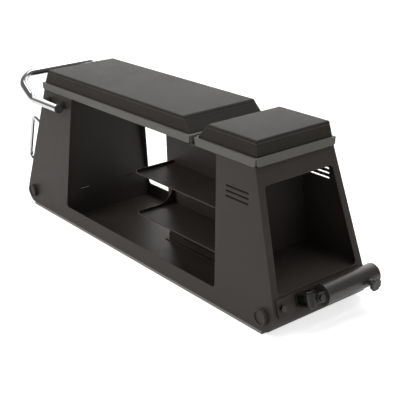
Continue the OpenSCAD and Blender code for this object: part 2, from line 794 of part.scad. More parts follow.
// Curved plate under the backrest tray with one lock hole for each position
module lock_quadrant() {
    first = lock_angle;
    last = lock_angle + back_angle;
    rim = quad_w / 2;
    far = 2 * quad_r;
    start = polar(quad_r, first);
    top = tray_z0 - hinge_z;
    color(paint) translate([hinge_x, 0, hinge_z]) {
        across(quad_y, quad_y + quad_t) difference() {
            union() {
                intersection() {
                    difference() {
                        circle(r = quad_r + rim, $fn = 96);
                        circle(r = quad_r - rim, $fn = 96);
                    }
                    polygon([[0, 0], polar(far, first), polar(far, (first + last) / 2), polar(far, last)]);
                }
                for (a = [first, last]) translate(polar(quad_r, a)) circle(r = rim);
                polygon([[start[0] - 3 * rim, top], [start[0] + 2 * rim, top],
                         [start[0] + rim, start[1]], [start[0] - rim, start[1]]]);
            }
            for (i = [0 : lock_holes - 1])
                translate(polar(quad_r, first + back_angle * i / (lock_holes - 1)))
                    circle(r = lock_r + 2 * bolt_fit);
        }
        translate([start[0] - 3 * rim, quad_y, top - tray_t]) cube([5 * rim, quad_foot, tray_t]);
    }
}

// Barrel on the web's front side that guides the lock pin
module lock_housing() {
    color("silver") difference() {
        bar_y(lock_x, lock_z, -web_gap - housing_len, -web_gap, housing_r);
        bar_y(lock_x, lock_z, -web_gap - housing_len - 1, -web_gap + 1, lock_r + run_fit);
    }
}

knob_y = -web_gap - housing_len - lock_travel - knob_gap;

// The lock pin, drawn out and parked, so that its tip stays inside the web
module lock_pin() {
    color("silver") bar_y(lock_x, lock_z, knob_y - lock_knob_len / 2, web_gap - tip_gap, lock_r);
}

module lock_knob() {
    r = lock_knob_r;
    n = lock_knob_len;
    color(black) translate([lock_x, knob_y, lock_z]) rotate([90, 0, 0]) difference() {
        rotate_extrude() polygon([[0, 0], [0.75 * r, 0], [0.6 * r, 0.35 * n], [r, 0.6 * n],
                                  [r, 0.85 * n], [0.8 * r, n], [0, n]]);
        translate([0, 0, -1]) cylinder(h = n / 2 + 1, r = lock_r);
    }
}

// Straight length of rod from a, n long, in direction d; it reaches a little into the bends
module straight(a, d, n, r) {
    side = abs(d[1]) > 0.9 ? [1, 0, 0] : [0, 1, 0];
    x = unit(cross(side, d));
    place(a - lap * d, x, cross(d, x), d) cylinder(h = n + 2 * lap, r = r);
}

// Bend of radius R at the corner p, between directions a and b that lead away from it.
// It is thinner than the straight lengths by a hair, so that they join cleanly.
module bend(p, a, b, R, r) {
    half = acos(a * b) / 2;
    mid = p + unit(a + b) * R / sin(half);
    e1 = unit(p + a * R / tan(half) - mid);
    e2 = unit(p + b * R / tan(half) - mid);
    k = unit(cross(e1, e2));
    place(mid, e1, cross(k, e1), k) rotate_extrude(angle = 180 - 2 * half)
        translate([R, 0]) circle(r = r - hair);
}

// U-shaped tube: two arms along the side panels, rising beyond the head end to a cross bar.
// Its open arms are hollow; the closed stretch past the knees is left solid.
module carry_handle() {
    r = handle_d / 2;
    arm_len = handle_end - knee_x - knee_cut;
    color("silver") difference() {
        union() {
            for (s = [-1, 1]) {
                y = s * handle_y;
                knee = [knee_x, y, handle_z];
                top = [bar_x, y, bar_z];
                straight([handle_end - lap, y, handle_z], [-1, 0, 0], arm_len - lap, r);
                bend(knee, [1, 0, 0], arm, handle_bend, r);
                straight(knee + arm * knee_cut, arm, norm(top - knee) - knee_cut - handle_bend, r);
                bend(top, -arm, [0, -s, 0], handle_bend, r);
            }
            straight([bar_x, handle_bend - handle_y, bar_z], [0, 1, 0], 2 * (handle_y - handle_bend), r);
        }
        for (s = [-1, 1]) {
            straight([handle_end + 1, s * handle_y, handle_z], [-1, 0, 0], arm_len, r - handle_wall);
            for (x = boss_x)
                bar_y(x, handle_z, s > 0 ? handle_y - r - 1 : -handle_y, s > 0 ? handle_y : -handle_y + r + 1,
                      handle_bolt_d / 2 + run_fit);
        }
    }
}

module handle_plugs() {
    r = handle_d / 2;
    color(black) for (s = [-1, 1]) translate([handle_end, s * handle_y, handle_z]) rotate([0, 90, 0]) {
        cylinder(h = plug_t, r = r + plug_rim);
        translate([0, 0, -plug_in]) cylinder(h = plug_in, r = r - handle_wall);
    }
}

// Round spacers between the side panels and the carry handle, coped onto the tube
module handle_bosses() {
    color(paint) for (side = [-1, 1], x = boss_x) difference() {
        intersection() {
            bar_y(x, handle_z, side > 0 ? 0 : -handle_y, side > 0 ? handle_y : 0, boss_r);
            outside(side, x - 2 * boss_r, x + 2 * boss_r, handle_z - 2 * boss_r, handle_z + 2 * boss_r);
        }
        translate([x - 2 * boss_r, side * handle_y, handle_z]) rotate([0, 90, 0])
            cylinder(h = 4 * boss_r, r = handle_d / 2);
        bar_y(x, handle_z, -base_w, base_w, handle_bolt_d / 2 + bolt_fit);
    }
}

// Bolts from inside the body through the bosses into the carry handle
module handle_bolts() {
    head_r = 0.8 * handle_bolt_d;
    y = inner_w(handle_z + head_r);
    color("silver") for (side = [0, 1], x = boss_x) mirror([0, side, 0]) {
        bar_y(x, handle_z, y - bolt_head_t, y, head_r);
        bar_y(x, handle_z, y - 1, handle_y - 1, handle_bolt_d / 2);
    }
}

// D-shaped rod handles, one near each edge of the head end
module grab_handles() {
    z = body_z0 + grab_low;
    leg = grab_reach - grab_bend;
    color("silver") for (s = [-1, 1]) place([head_x(z), s * grab_y, z], [0, -1, 0], head_up, head_out) {
        for (y = [0, grab_h]) straight([0, y, lap], [0, 0, 1], leg - lap, grab_d / 2);
        bend([0, 0, grab_reach], [0, 0, -1], [0, 1, 0], grab_bend, grab_d / 2);
        bend([0, grab_h, grab_reach], [0, 0, -1], [0, -1, 0], grab_bend, grab_d / 2);
        straight([0, grab_bend, grab_reach], [0, 1, 0], grab_h - 2 * grab_bend, grab_d / 2);
    }
}

// Round pegs for elastic bands at the four lower corners
module band_pegs() {
    y1 = half_w(bend_z) + peg_len;
    color(paint) for (side = [0, 1], x = [bend_head_x, bend_foot_x]) mirror([0, side, 0]) difference() {
        intersection() {
            bar_y(x, bend_z, 0, y1, peg_r);
            outside(1, x - 2 * peg_r, x + 2 * peg_r, bend_z - 2 * peg_r, bend_z + 2 * peg_r);
        }
        difference() {
            bar_y(x, bend_z, y1 - groove_depth, y1 + 1, peg_r - groove_in);
            bar_y(x, bend_z, y1 - groove_depth - 1, y1 + 2, peg_r - groove_in - groove_w);
        }
        bar_y(x, bend_z, 0, y1 - peg_end_t, peg_bolt_r + run_fit);
    }
}

// Bolts from inside the body into the band pegs
module peg_bolts() {
    head_r = 1.8 * peg_bolt_r;
    y = inner_w(bend_z + head_r);
    color("silver") for (side = [0, 1], x = [bend_head_x, bend_foot_x]) mirror([0, side, 0]) {
        bar_y(x, bend_z, y - bolt_head_t, y, head_r);
        bar_y(x, bend_z, y - 1, half_w(bend_z) + peg_len - peg_end_t - tip_gap, peg_bolt_r);
    }
}

// On the foot end at the base plate's middle height: x across, y up, z out
module at_plate(y) {
    place([foot_x(plate_z), y, plate_z], [0, 1, 0], foot_up, foot_out) children();
}

module base_plate() {
    h = plate_h / 2;
    n = plate_len / 2;
    color(paint) at_plate(0) difference() {
        linear_extrude(plate_t) rounded([[-n, -h], [n, -h], [n, h], [-n, h]], plate_corner);
        for (s = [-1, 1]) translate([s * plate_bolt_pitch / 2, 0, -1])
            cylinder(h = plate_t + 2, r = plate_bolt_d / 2 + bolt_fit);
    }
}

module plate_bolts() {
    r = plate_bolt_d / 2;
    color("silver") for (s = [-1, 1]) at_plate(s * plate_bolt_pitch / 2) {
        translate([0, 0, plate_t]) cylinder(h = washer_t, r = 2 * r);
        translate([0, 0, plate_t + washer_t]) cylinder(h = plate_head_t, r = 1.85 * r, $fn = 6);
        translate([0, 0, -sheet - plate_bolt_in]) cylinder(h = sheet + plate_bolt_in + plate_t + 1, r = r);
    }
}

module plate_nuts() {
    r = plate_bolt_d / 2;
    color("silver") for (s = [-1, 1]) at_plate(s * plate_bolt_pitch / 2)
        translate([0, 0, -sheet - plate_nut_t]) difference() {
            cylinder(h = plate_nut_t, r = 1.85 * r, $fn = 6);
            translate([0, 0, -1]) cylinder(h = plate_nut_t + 2, r = r + run_fit);
        }
}

// At the upright swivel bolt: x along the socket, y up the foot end, z out of it
module at_swivel() {
    place([foot_x(swivel_z), -swivel_y, swivel_z] + socket_off * foot_out, [0, 1, 0], foot_up, foot_out)
        children();
}

// Outline in the swivel's x and z, extruded along its y from y0 to y1
module level(y0, y1) {
    translate([0, y1, 0]) rotate([90, 0, 0]) linear_extrude(y1 - y0) children();
}

// Two ears on a back plate, welded to the base plate
module swivel_yoke() {
    back = plate_t - socket_off;
    color(paint) at_swivel() {
        for (s = [-1, 1]) level(s > 0 ? ear_in : -ear_out, s > 0 ? ear_out : -ear_in) difference() {
            union() {
                circle(r = yoke_r);
                translate([-yoke_r, back]) square([2 * yoke_r, -back]);
            }
            circle(r = swivel_d / 2 + run_fit);
        }
        translate([-yoke_r - yoke_foot, -ear_out, back])
            cube([2 * (yoke_r + yoke_foot), 2 * ear_out, yoke_foot]);
    }
}

// Bolt along z through the middle, with its head up and its nut below
module swivel_bolt() {
    r = swivel_d / 2;
    head = bolt_head_t;
    translate([0, 0, -ear_out - head - 1]) cylinder(h = 2 * ear_out + head + 1 + tip_gap, r = r);
    translate([0, 0, ear_out]) cylinder(h = head, r = 1.8 * r, $fn = 6);
    translate([0, 0, -ear_out - head]) difference() {
        cylinder(h = head, r = 1.8 * r, $fn = 6);
        translate([0, 0, -1]) cylinder(h = head + 2, r = r + run_fit);
    }
}

module yaw_bolt() {
    color("silver") at_swivel() rotate([-90, 0, 0]) swivel_bolt();
}

module pitch_bolt() {
    color("silver") at_swivel() translate([swivel_pitch, 0, 0]) swivel_bolt();
}

// Block that turns on the upright bolt and carries the bolt that the socket tilts on
module cross_block() {
    h = block_half;
    color(paint) at_swivel() difference() {
        level(-h, h) {
            circle(r = h);
            translate([0, -h]) square([swivel_pitch + block_tail, 2 * h]);
        }
        level(-h - 1, h + 1) circle(r = swivel_d / 2 + run_fit);
        translate([swivel_pitch, 0, -h - 1]) cylinder(h = 2 * h + 2, r = swivel_d / 2 + run_fit);
    }
}

// Open tube for a bar's end, with two ears on its closed end and a boss for the clamp screw
module bar_socket() {
    end_t = 5;
    color(paint) at_swivel() difference() {
        union() {
            translate([socket_x0, 0, 0]) rotate([0, 90, 0]) cylinder(h = socket_len, r = socket_r, $fn = 72);
            for (z = [-ear_out, ear_in]) translate([0, 0, z]) linear_extrude(ear_t) {
                translate([swivel_pitch, 0]) circle(r = ear_r);
                translate([swivel_pitch, -ear_r]) square([socket_x0 - swivel_pitch + 1, 2 * ear_r]);
            }
            at_clamp() cylinder(h = socket_r + clamp_boss_len, r = clamp_boss_r);
        }
        translate([socket_x0 + end_t, 0, 0]) rotate([0, 90, 0])
            cylinder(h = socket_len, r = socket_bore / 2, $fn = 72);
        translate([swivel_pitch, 0, -2 * ear_out]) cylinder(h = 4 * ear_out, r = swivel_d / 2 + run_fit);
        at_clamp() cylinder(h = clamp_reach, r = clamp_screw_r + run_fit);
    }
}

// In the swivel's frame at the clamp screw, z along the screw, outwards and turned down
module at_clamp() {
    translate([clamp_x, 0, 0]) rotate([clamp_turn, 0, 0]) children();
}

module clamp_screw() {
    start = socket_bore / 2 + tip_gap;
    n = clamp_reach - clamp_knob_len / 2 - start;
    color("silver") at_swivel() at_clamp() translate([0, 0, start]) cylinder(h = n, r = clamp_screw_r);
}

module clamp_knob() {
    n = clamp_knob_len;
    r = clamp_knob_r;
    color(black) at_swivel() at_clamp() translate([0, 0, clamp_reach - n]) difference() {
        rotate_extrude() polygon([[0, 0], [0.7 * r, 0], [r, 0.3 * n], [r, 0.85 * n], [0.9 * r, n], [0, n]]);
        translate([0, 0, -1]) cylinder(h = n / 2 + 1, r = clamp_screw_r);
    }
}

side_panel(-1);  // side_panel_front
side_panel(1);  // side_panel_rear
head_end_sheet();
foot_end_sheet();
floor_sheet();
head_partition();
foot_partition();
foot_bay_floor();
centre_web();
web_angle();
upper_shelves();
lower_shelves();
foot_strips();
seat_tray();
seat_board();
seat_pad();
seat_bolts();
hinge_brackets();
hinge_pins();
lock_housing();
carry_handle();
handle_plugs();
handle_bosses();
handle_bolts();
grab_handles();
band_pegs();
peg_bolts();
base_plate();
plate_bolts();
plate_nuts();
swivel_yoke();
yaw_bolt();
back_tray();
back_board();
back_pad();
back_bolts();
hinge_eyes();
lock_quadrant();
lock_pin();
lock_knob();
cross_block();
bar_socket();
pitch_bolt();
clamp_screw();
clamp_knob();
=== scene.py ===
"""Looks of a multifunction weight bench, in metres, from the fixed frame to the studio around it."""

import math

import bmesh
import bpy
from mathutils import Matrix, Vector


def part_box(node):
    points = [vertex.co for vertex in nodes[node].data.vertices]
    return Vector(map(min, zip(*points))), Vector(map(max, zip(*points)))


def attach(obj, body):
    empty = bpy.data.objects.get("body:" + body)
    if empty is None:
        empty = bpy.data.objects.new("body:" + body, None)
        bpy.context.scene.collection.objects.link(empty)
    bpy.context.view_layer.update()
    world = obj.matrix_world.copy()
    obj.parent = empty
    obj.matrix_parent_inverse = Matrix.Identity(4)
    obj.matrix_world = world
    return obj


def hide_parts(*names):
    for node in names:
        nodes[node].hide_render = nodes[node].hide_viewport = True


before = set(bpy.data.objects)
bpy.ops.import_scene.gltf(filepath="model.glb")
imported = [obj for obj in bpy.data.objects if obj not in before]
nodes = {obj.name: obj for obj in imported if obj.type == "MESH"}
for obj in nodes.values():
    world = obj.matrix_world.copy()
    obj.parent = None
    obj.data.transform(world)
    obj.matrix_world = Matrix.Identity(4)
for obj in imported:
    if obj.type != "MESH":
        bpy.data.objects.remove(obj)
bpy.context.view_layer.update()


# The body is folded from 3 mm steel sheet and welded: two side panels, two ends, the floor,
# the partitions and the web with its shelves. All of it has a dark, fine-textured powder coat,
# whose edges are painted lighter: partly wear, partly a painted highlight along the bends.
def add_node(tree, kind, inputs=None, **settings):
    """Adds a node; an input is a value or another node's output socket."""
    node = tree.nodes.new(kind)
    for key, value in settings.items():
        setattr(node, key, value)
    for key, value in (inputs or {}).items():
        if isinstance(value, bpy.types.NodeSocket):
            tree.links.new(value, node.inputs[key])
        else:
            node.inputs[key].default_value = value
    return node


def finish_named(name):
    """New material: its tree, its surface shader and the object's own coordinates."""
    material = bpy.data.materials.new(name)
    material.use_nodes = True
    tree = material.node_tree
    coords = add_node(tree, "ShaderNodeTexCoord").outputs["Object"]
    return material, tree, tree.nodes["Principled BSDF"], coords


def blotches(tree, coords, scale, detail=3.0):
    """Soft cloudy pattern from 0 to 1."""
    noise = add_node(tree, "ShaderNodeTexNoise", {"Vector": coords, "Scale": scale, "Detail": detail})
    return noise.outputs["Fac"]


def between(tree, share, low, high):
    """Takes a pattern from 0 to 1 to the range from low to high."""
    mapped = add_node(tree, "ShaderNodeMapRange", {"Value": share, "To Min": low, "To Max": high})
    return mapped.outputs["Result"]


def two_tone(tree, share, a, b):
    """Colour that goes from a to b with a pattern."""
    mix = add_node(tree, "ShaderNodeMix", data_type="RGBA")
    tree.links.new(share, mix.inputs[0])
    for key, value in ((6, a), (7, b)):
        if isinstance(value, bpy.types.NodeSocket):
            tree.links.new(value, mix.inputs[key])
        else:
            mix.inputs[key].default_value = (*value, 1.0)
    return mix.outputs[2]


def shade(color, share):
    """The colour made lighter or darker by a share."""
    return tuple(min(1.0, c * share) for c in color)


def rounded_edges(tree, radius):
    """Normal that rounds sharp edges, and a mask that is 1 on them."""
    soft = add_node(tree, "ShaderNodeBevel", {"Radius": radius}, samples=6).outputs["Normal"]
    true = add_node(tree, "ShaderNodeNewGeometry").outputs["True Normal"]
    same = add_node(tree, "ShaderNodeVectorMath", {0: soft, 1: true}, operation="DOT_PRODUCT")
    mask = add_node(tree, "ShaderNodeMapRange",
                    {"Value": same.outputs["Value"], "From Min": 0.99, "From Max": 0.80})
    return soft, mask.outputs["Result"]


rough_spread = 0.06


def powder_coat(name, color, edge_wear_and_highlight, gloss=0.22, rough=0.46):
    """Textured paint on steel.

    edge_wear_and_highlight is how much lighter its edges are, partly wear and partly a painted
    highlight; gloss its specular level, rough its mean roughness.
    """
    material, tree, surface, coords = finish_named(name)
    soft, mask = rounded_edges(tree, 0.0016)
    tone = two_tone(tree, blotches(tree, coords, 5.0), shade(color, 0.93), shade(color, 1.07))
    # Edges painted lighter in patches: partly wear, partly a painted highlight.
    patchy = add_node(tree, "ShaderNodeMath", {0: mask, 1: blotches(tree, coords, 60.0)},
                      operation="MULTIPLY")
    tree.links.new(two_tone(tree, patchy.outputs[0], tone, shade(color, edge_wear_and_highlight)), surface.inputs["Base Color"])
    dull = between(tree, blotches(tree, coords, 40.0), rough - rough_spread, rough + rough_spread)
    tree.links.new(dull, surface.inputs["Roughness"])
    texture = blotches(tree, coords, 900.0, 2.0)
    bump = add_node(tree, "ShaderNodeBump",
                    {"Strength": 0.22, "Distance": 0.0003, "Height": texture, "Normal": soft})
    tree.links.new(bump.outputs["Normal"], surface.inputs["Normal"])
    surface.inputs["Specular IOR Level"].default_value = gloss
    return material


def dress(material, *names):
    """Gives CAD nodes a material."""
    for name in names:
        for slot in nodes[name].material_slots:
            slot.material = material


body_coat = powder_coat("charcoal_powder_coat", (0.0380, 0.0320, 0.0285), 2.0)
dress(body_coat, "side_panel_front", "side_panel_rear", "head_end_sheet", "foot_end_sheet", "floor_sheet",
      "head_partition", "foot_partition", "foot_bay_floor", "centre_web", "web_angle",
      "upper_shelves", "lower_shelves", "hinge_brackets", "hinge_eyes", "lock_quadrant",
      "handle_bosses", "base_plate")

# The bar socket is a steel tube with a smoother coat; its cross block and its yoke are machined
# steel in glossy black. The edges of all three are painted lighter, five times on the black
# parts: partly wear, partly a painted highlight.
dress(powder_coat("smooth_powder_coat", (0.030, 0.0265, 0.0235), 2.2, 0.6, 0.34), "bar_socket")
dress(powder_coat("black_powder_coat", (0.011, 0.010, 0.009), 5.0, 0.5, 0.30), "swivel_yoke", "cross_block")

# The two trays under the pads have a lighter coat, and the strips that the bench stands on are
# a still paler grey. The trays' edges are painted much lighter: a painted highlight along their
# top edges, partly wear.
dress(powder_coat("grey_powder_coat", (0.109, 0.105, 0.095), 2.6), "seat_tray", "back_tray")
dress(powder_coat("pale_strip", (0.225, 0.220, 0.205), 1.1, 0.2, 0.6), "foot_strips")


# The shelves are joined to the web by short ripples of weld, painted over. The tree that sets
# them also sets a seam's stitches: each bead is a squashed ball along a path.
def placed(name, data):
    """New object with the given data, in the scene."""
    piece = bpy.data.objects.new(name, data)
    bpy.context.scene.collection.objects.link(piece)
    return piece


def plain_mesh(piece):
    """Turns a piece with modifiers into a plain mesh."""
    ready = piece.evaluated_get(bpy.context.evaluated_depsgraph_get())
    made = bpy.data.meshes.new_from_object(ready)
    piece.modifiers.clear()
    piece.data = made


def beads_along(name, paths, pitch, size, material):
    """Beads of the given length, width and height set along paths, as a plain mesh."""
    mesh = bpy.data.meshes.new(name)
    points, edges = [], []
    for path in paths:
        edges += [(len(points) + i, len(points) + i + 1) for i in range(len(path) - 1)]
        points += path
    mesh.from_pydata(points, edges, [])
    piece = placed(name, mesh)
    tree = bpy.data.node_groups.new(name, "GeometryNodeTree")
    tree.interface.new_socket("Path", in_out="INPUT", socket_type="NodeSocketGeometry")
    inputs = {}
    for label, kind in (("Pitch", "NodeSocketFloat"), ("Bead size", "NodeSocketVector"),
                        ("Finish", "NodeSocketMaterial")):
        inputs[label] = tree.interface.new_socket(label, in_out="INPUT", socket_type=kind).identifier
    tree.interface.new_socket("Beads", in_out="OUTPUT", socket_type="NodeSocketGeometry")
    given = tree.nodes.new("NodeGroupInput").outputs
    curve = add_node(tree, "GeometryNodeMeshToCurve", {"Mesh": given["Path"]}).outputs["Curve"]
    even = add_node(tree, "GeometryNodeResampleCurve", {"Curve": curve, "Length": given["Pitch"]},
                    mode="LENGTH")
    along = add_node(tree, "GeometryNodeInputTangent").outputs["Tangent"]
    turn = add_node(tree, "FunctionNodeAlignEulerToVector", {"Vector": along}, axis="X")
    ball = add_node(tree, "GeometryNodeMeshUVSphere", {"Segments": 8, "Rings": 6, "Radius": 0.5})
    set_out = add_node(tree, "GeometryNodeInstanceOnPoints",
                       {"Points": even.outputs["Curve"], "Instance": ball.outputs["Mesh"],
                        "Rotation": turn.outputs["Rotation"], "Scale": given["Bead size"]})
    real = add_node(tree, "GeometryNodeRealizeInstances", {"Geometry": set_out.outputs["Instances"]})
    smooth = add_node(tree, "GeometryNodeSetShadeSmooth", {"Geometry": real.outputs["Geometry"]})
    dressed = add_node(tree, "GeometryNodeSetMaterial",
                       {"Geometry": smooth.outputs["Geometry"], "Material": given["Finish"]})
    add_node(tree, "NodeGroupOutput", {"Beads": dressed.outputs["Geometry"]})
    modifier = piece.modifiers.new("beads", "NODES")
    modifier.node_group = tree
    modifier[inputs["Pitch"]] = pitch
    modifier[inputs["Bead size"]] = size
    modifier[inputs["Finish"]] = material
    plain_mesh(piece)
    return piece


weld_pitch = 0.0030
weld_size = (0.0042, 0.0034, 0.0034)
weld_inset = 0.030
weld_length = 0.040
weld_count = 4
weld_spaces = 3.4
web_low, web_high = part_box("centre_web")
weld_runs = []
for shelves in ("upper_shelves", "lower_shelves"):
    shelf_low, shelf_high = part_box(shelves)
    for side in (-1, 1):
        y = web_high.y if side > 0 else web_low.y
        for k in range(weld_count):
            start = (shelf_low.x + weld_inset
                     + k * (shelf_high.x - shelf_low.x - 2 * weld_inset) / weld_spaces)
            weld_runs.append([(start, y, shelf_low.z), (start + weld_length, y, shelf_low.z)])
shelf_welds = beads_along("shelf_welds", weld_runs, weld_pitch, weld_size, body_coat)
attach(shelf_welds, "body")


# The pads are foam on a plywood board, covered with a grained black vinyl. The cover is sewn from
# a top panel and side bands, so a seam runs round below the top edge and down each corner.
def vinyl(name, color):
    """Grained upholstery cover, a little glossy."""
    material, tree, surface, coords = finish_named(name)
    cells = add_node(tree, "ShaderNodeTexVoronoi", {"Vector": coords, "Scale": 520.0, "Randomness": 1.0})
    grain = between(tree, cells.outputs["Distance"], 1.0, 0.0)
    cloud = blotches(tree, coords, 14.0)
    dust = blotches(tree, coords, 240.0)
    tone = two_tone(tree, cloud, shade(color, 0.88), shade(color, 1.12))
    # The grain's valleys are painted darker than its raised cells: painted shade in the grain.
    tree.links.new(two_tone(tree, grain, tone, shade(color, 2.4)), surface.inputs["Base Color"])
    tree.links.new(between(tree, cloud, 0.52, 0.62), surface.inputs["Roughness"])
    fine = add_node(tree, "ShaderNodeBump", {"Strength": 0.35, "Distance": 0.0004, "Height": dust})
    bump = add_node(tree, "ShaderNodeBump", {"Strength": 0.8, "Distance": 0.0008, "Height": grain,
                                             "Normal": fine.outputs["Normal"]})
    tree.links.new(bump.outputs["Normal"], surface.inputs["Normal"])
    surface.inputs["Specular IOR Level"].default_value = 0.22
    return material


pad_cover = vinyl("grained_vinyl", (0.0115, 0.0094, 0.0075))
edge_r = 0.0028
seam_drop = 0.009
seam_sink = 0.0008
thread_lift = 0.0006
pad_slope = 0.006
swell = 0.0010
pad_crown = 0.0012
pad_pull = 0.0012
pad_step = 0.007
edge_lines = (0.0, 0.0008, 0.0016, 0.0028, 0.0040, 0.008)
wall_lines = (0.0, 0.001, 0.002, 0.004, 0.009, 0.014, 0.019, 0.024)
top_lines = (0.006, 0.004, 0.003, 0.002, 0.001, 0.0)
cloth_steps = 20


def grid_lines(low, high):
    """Places of grid lines from low to high: close together near both ends, even between."""
    near, far = low + edge_lines[-1], high - edge_lines[-1]
    count = max(2, round((far - near) / pad_step))
    inner = [near + (far - near) * i / count for i in range(1, count)]
    return [low + e for e in edge_lines] + inner + [high - e for e in reversed(edge_lines)]


def box_shell(xs, ys, zs):
    """Closed box of quads with grid lines at the given places, and its points' numbers by line."""
    number, points, faces = {}, [], []

    def point(*key):
        if key not in number:
            number[key] = len(points)
            points.append(Vector((xs[key[0]], ys[key[1]], zs[key[2]])))
        return number[key]

    last = (len(xs) - 1, len(ys) - 1, len(zs) - 1)
    for axis in range(3):
        u, v = [a for a in range(3) if a != axis]
        for end in (0, last[axis]):
            for i in range(last[u]):
                for j in range(last[v]):
                    face = []
                    for di, dj in ((0, 0), (1, 0), (1, 1), (0, 1)):
                        key = [0, 0, 0]
                        key[axis], key[u], key[v] = end, i + di, j + dj
                        face.append(point(*key))
                    faces.append(face)
    return number, points, faces


def face_outward(mesh):
    """Turns the faces of a closed mesh outward."""
    work = bmesh.new()
    work.from_mesh(mesh)
    bmesh.ops.recalc_face_normals(work, faces=work.faces)
    work.to_mesh(mesh)
    work.free()


def upholstered(name, node, slope_head, slope_foot, reach_head, reach_foot, body):
    """Cushion over a CAD pad: a rounded wedge, swollen between its seams by a cloth simulation.

    The slopes are how far its ends lean in at the top, the reaches how far it goes past the
    CAD pad's ends. Gives back the paths of its seams.
    """
    low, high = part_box(node)
    low.x -= reach_head
    high.x += reach_foot
    length, half = high.x - low.x, (high.y - low.y) / 2
    height = high.z - low.z - swell
    zs = [*wall_lines, height - seam_drop, *(height - drop for drop in top_lines)]
    xs, ys = grid_lines(0.0, length), grid_lines(-half, half)
    number, points, faces = box_shell(xs, ys, zs)
    for p in points:
        core = Vector((min(max(p.x, edge_r), length - edge_r),
                       min(max(p.y, edge_r - half), half - edge_r),
                       min(max(p.z, edge_r), height - edge_r)))
        p[:] = core + (p - core).normalized() * edge_r
        along, across, up = p.x / length, p.y / half, p.z / height
        bulge = (1 - (2 * along - 1) ** 4) * (1 - across ** 4)
        pull = pad_pull * math.sin(math.pi * up)
        p.z += pad_crown * bulge * up
        p.x += (slope_head * up * (1 - along) - slope_foot * up * along
                + pull * (1 - 2 * along) * (1 - across ** 2))
        p.y *= 1 - pad_slope * up / half - pull / half * (1 - (2 * along - 1) ** 2)
        p += Vector((low.x, 0.0, low.z))
    mesh = bpy.data.meshes.new(name)
    mesh.from_pydata(points, [], faces)
    face_outward(mesh)
    cushion = placed(name, mesh)

    seam_line = zs.index(height - seam_drop)
    ends = (len(xs) - 1, len(ys) - 1)
    rim = [(i, 0) for i in range(ends[0])] + [(ends[0], j) for j in range(ends[1])]
    rim += [(i, ends[1]) for i in range(ends[0], 0, -1)] + [(0, j) for j in range(ends[1], -1, -1)]
    seams = [[number[(i, j, seam_line)] for i, j in rim]]
    for i in (0, ends[0]):
        for j in (0, ends[1]):
            seams.append([number[(i, j, k)] for k in range(1, seam_line + 1)])
    sewn = cushion.vertex_groups.new(name="sewn")
    sewn.add([n for key, n in number.items() if key[2] <= 1], 1.0, "REPLACE")
    sewn.add([n for seam in seams for n in seam], 1.0, "REPLACE")
    swell_up(cushion)
    mesh = cushion.data
    for seam in seams:
        for n in set(seam):
            mesh.vertices[n].co -= mesh.vertices[n].normal * seam_sink
    paths = [[tuple(mesh.vertices[n].co + mesh.vertices[n].normal * thread_lift) for n in seam]
             for seam in seams]
    round_off = cushion.modifiers.new("round_off", "SUBSURF")
    round_off.levels = round_off.render_levels = 1
    plain_mesh(cushion)
    cushion.data.shade_smooth()
    cushion.data.materials.append(pad_cover)
    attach(cushion, body)
    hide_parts(node)
    return paths


def swell_up(cushion):
    """Blows the cover up a little between its sewn points, and keeps the result."""
    cloth = cushion.modifiers.new("cover", "CLOTH")
    settings = cloth.settings
    settings.quality = 6
    settings.mass = 0.3
    settings.tension_stiffness = settings.compression_stiffness = 12
    settings.bending_stiffness = 0.6
    settings.use_pressure = True
    settings.uniform_pressure_force = 4
    settings.effector_weights.gravity = 0
    settings.vertex_group_mass = "sewn"
    cloth.collision_settings.use_collision = False
    scene = bpy.context.scene
    for step in range(1, cloth_steps + 1):
        scene.frame_set(step)
    before = [v.co.copy() for v in cushion.data.vertices]
    plain_mesh(cushion)
    moves = [v.co - start for v, start in zip(cushion.data.vertices, before)]
    calm = min(1.0, swell / max(move.length for move in moves))
    for v, start, move in zip(cushion.data.vertices, before, moves):
        v.co = start + move * calm
    scene.frame_set(1)


back_slopes = (0.014, 0.033)
seat_slopes = (0.0365, 0.006)
gap_reach = 0.007
back_paths = upholstered("back_cushion", "back_pad", *back_slopes, 0.0, gap_reach, "backrest")
seat_paths = upholstered("seat_cushion", "seat_pad", *seat_slopes, gap_reach, 0.0, "body")


# The seams are sewn with a heavy grey thread, 5.5 mm a stitch.
def thread(name, color):
    """Twisted thread, with painted shade between its strands."""
    material, tree, surface, coords = finish_named(name)
    strand = add_node(tree, "ShaderNodeTexWave", {"Vector": coords, "Scale": 900.0, "Distortion": 2.0})
    tone = two_tone(tree, strand.outputs["Fac"], shade(color, 0.7), color)
    tree.links.new(tone, surface.inputs["Base Color"])
    surface.inputs["Roughness"].default_value = 0.75
    return material


seam_thread = thread("grey_thread", (0.16, 0.155, 0.15))
stitch_pitch = 0.0055
stitch_size = (0.0040, 0.0009, 0.0009)
for name, paths, body in (("back_stitches", back_paths, "backrest"), ("seat_stitches", seat_paths, "body")):
    stitches = beads_along(name, paths, stitch_pitch, stitch_size, seam_thread)
    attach(stitches, body)


# The boards inside the pads are 12 mm birch plywood with rounded corners. Their ends lean with
# the pads' ends and stay inside the covers.
def plywood(name, color):
    """Plywood with long grain along the bench."""
    material, tree, surface, coords = finish_named(name)
    stretch = add_node(tree, "ShaderNodeMapping", {"Vector": coords, "Scale": (3.0, 60.0, 60.0)})
    grain = blotches(tree, stretch.outputs["Vector"], 2.5, 6.0)
    tone = two_tone(tree, grain, shade(color, 0.75), shade(color, 1.1))
    tree.links.new(tone, surface.inputs["Base Color"])
    surface.inputs["Roughness"].default_value = 0.7
    bump = add_node(tree, "ShaderNodeBump", {"Strength": 0.2, "Distance": 0.0005, "Height": grain})
    tree.links.new(bump.outputs["Normal"], surface.inputs["Normal"])
    return material


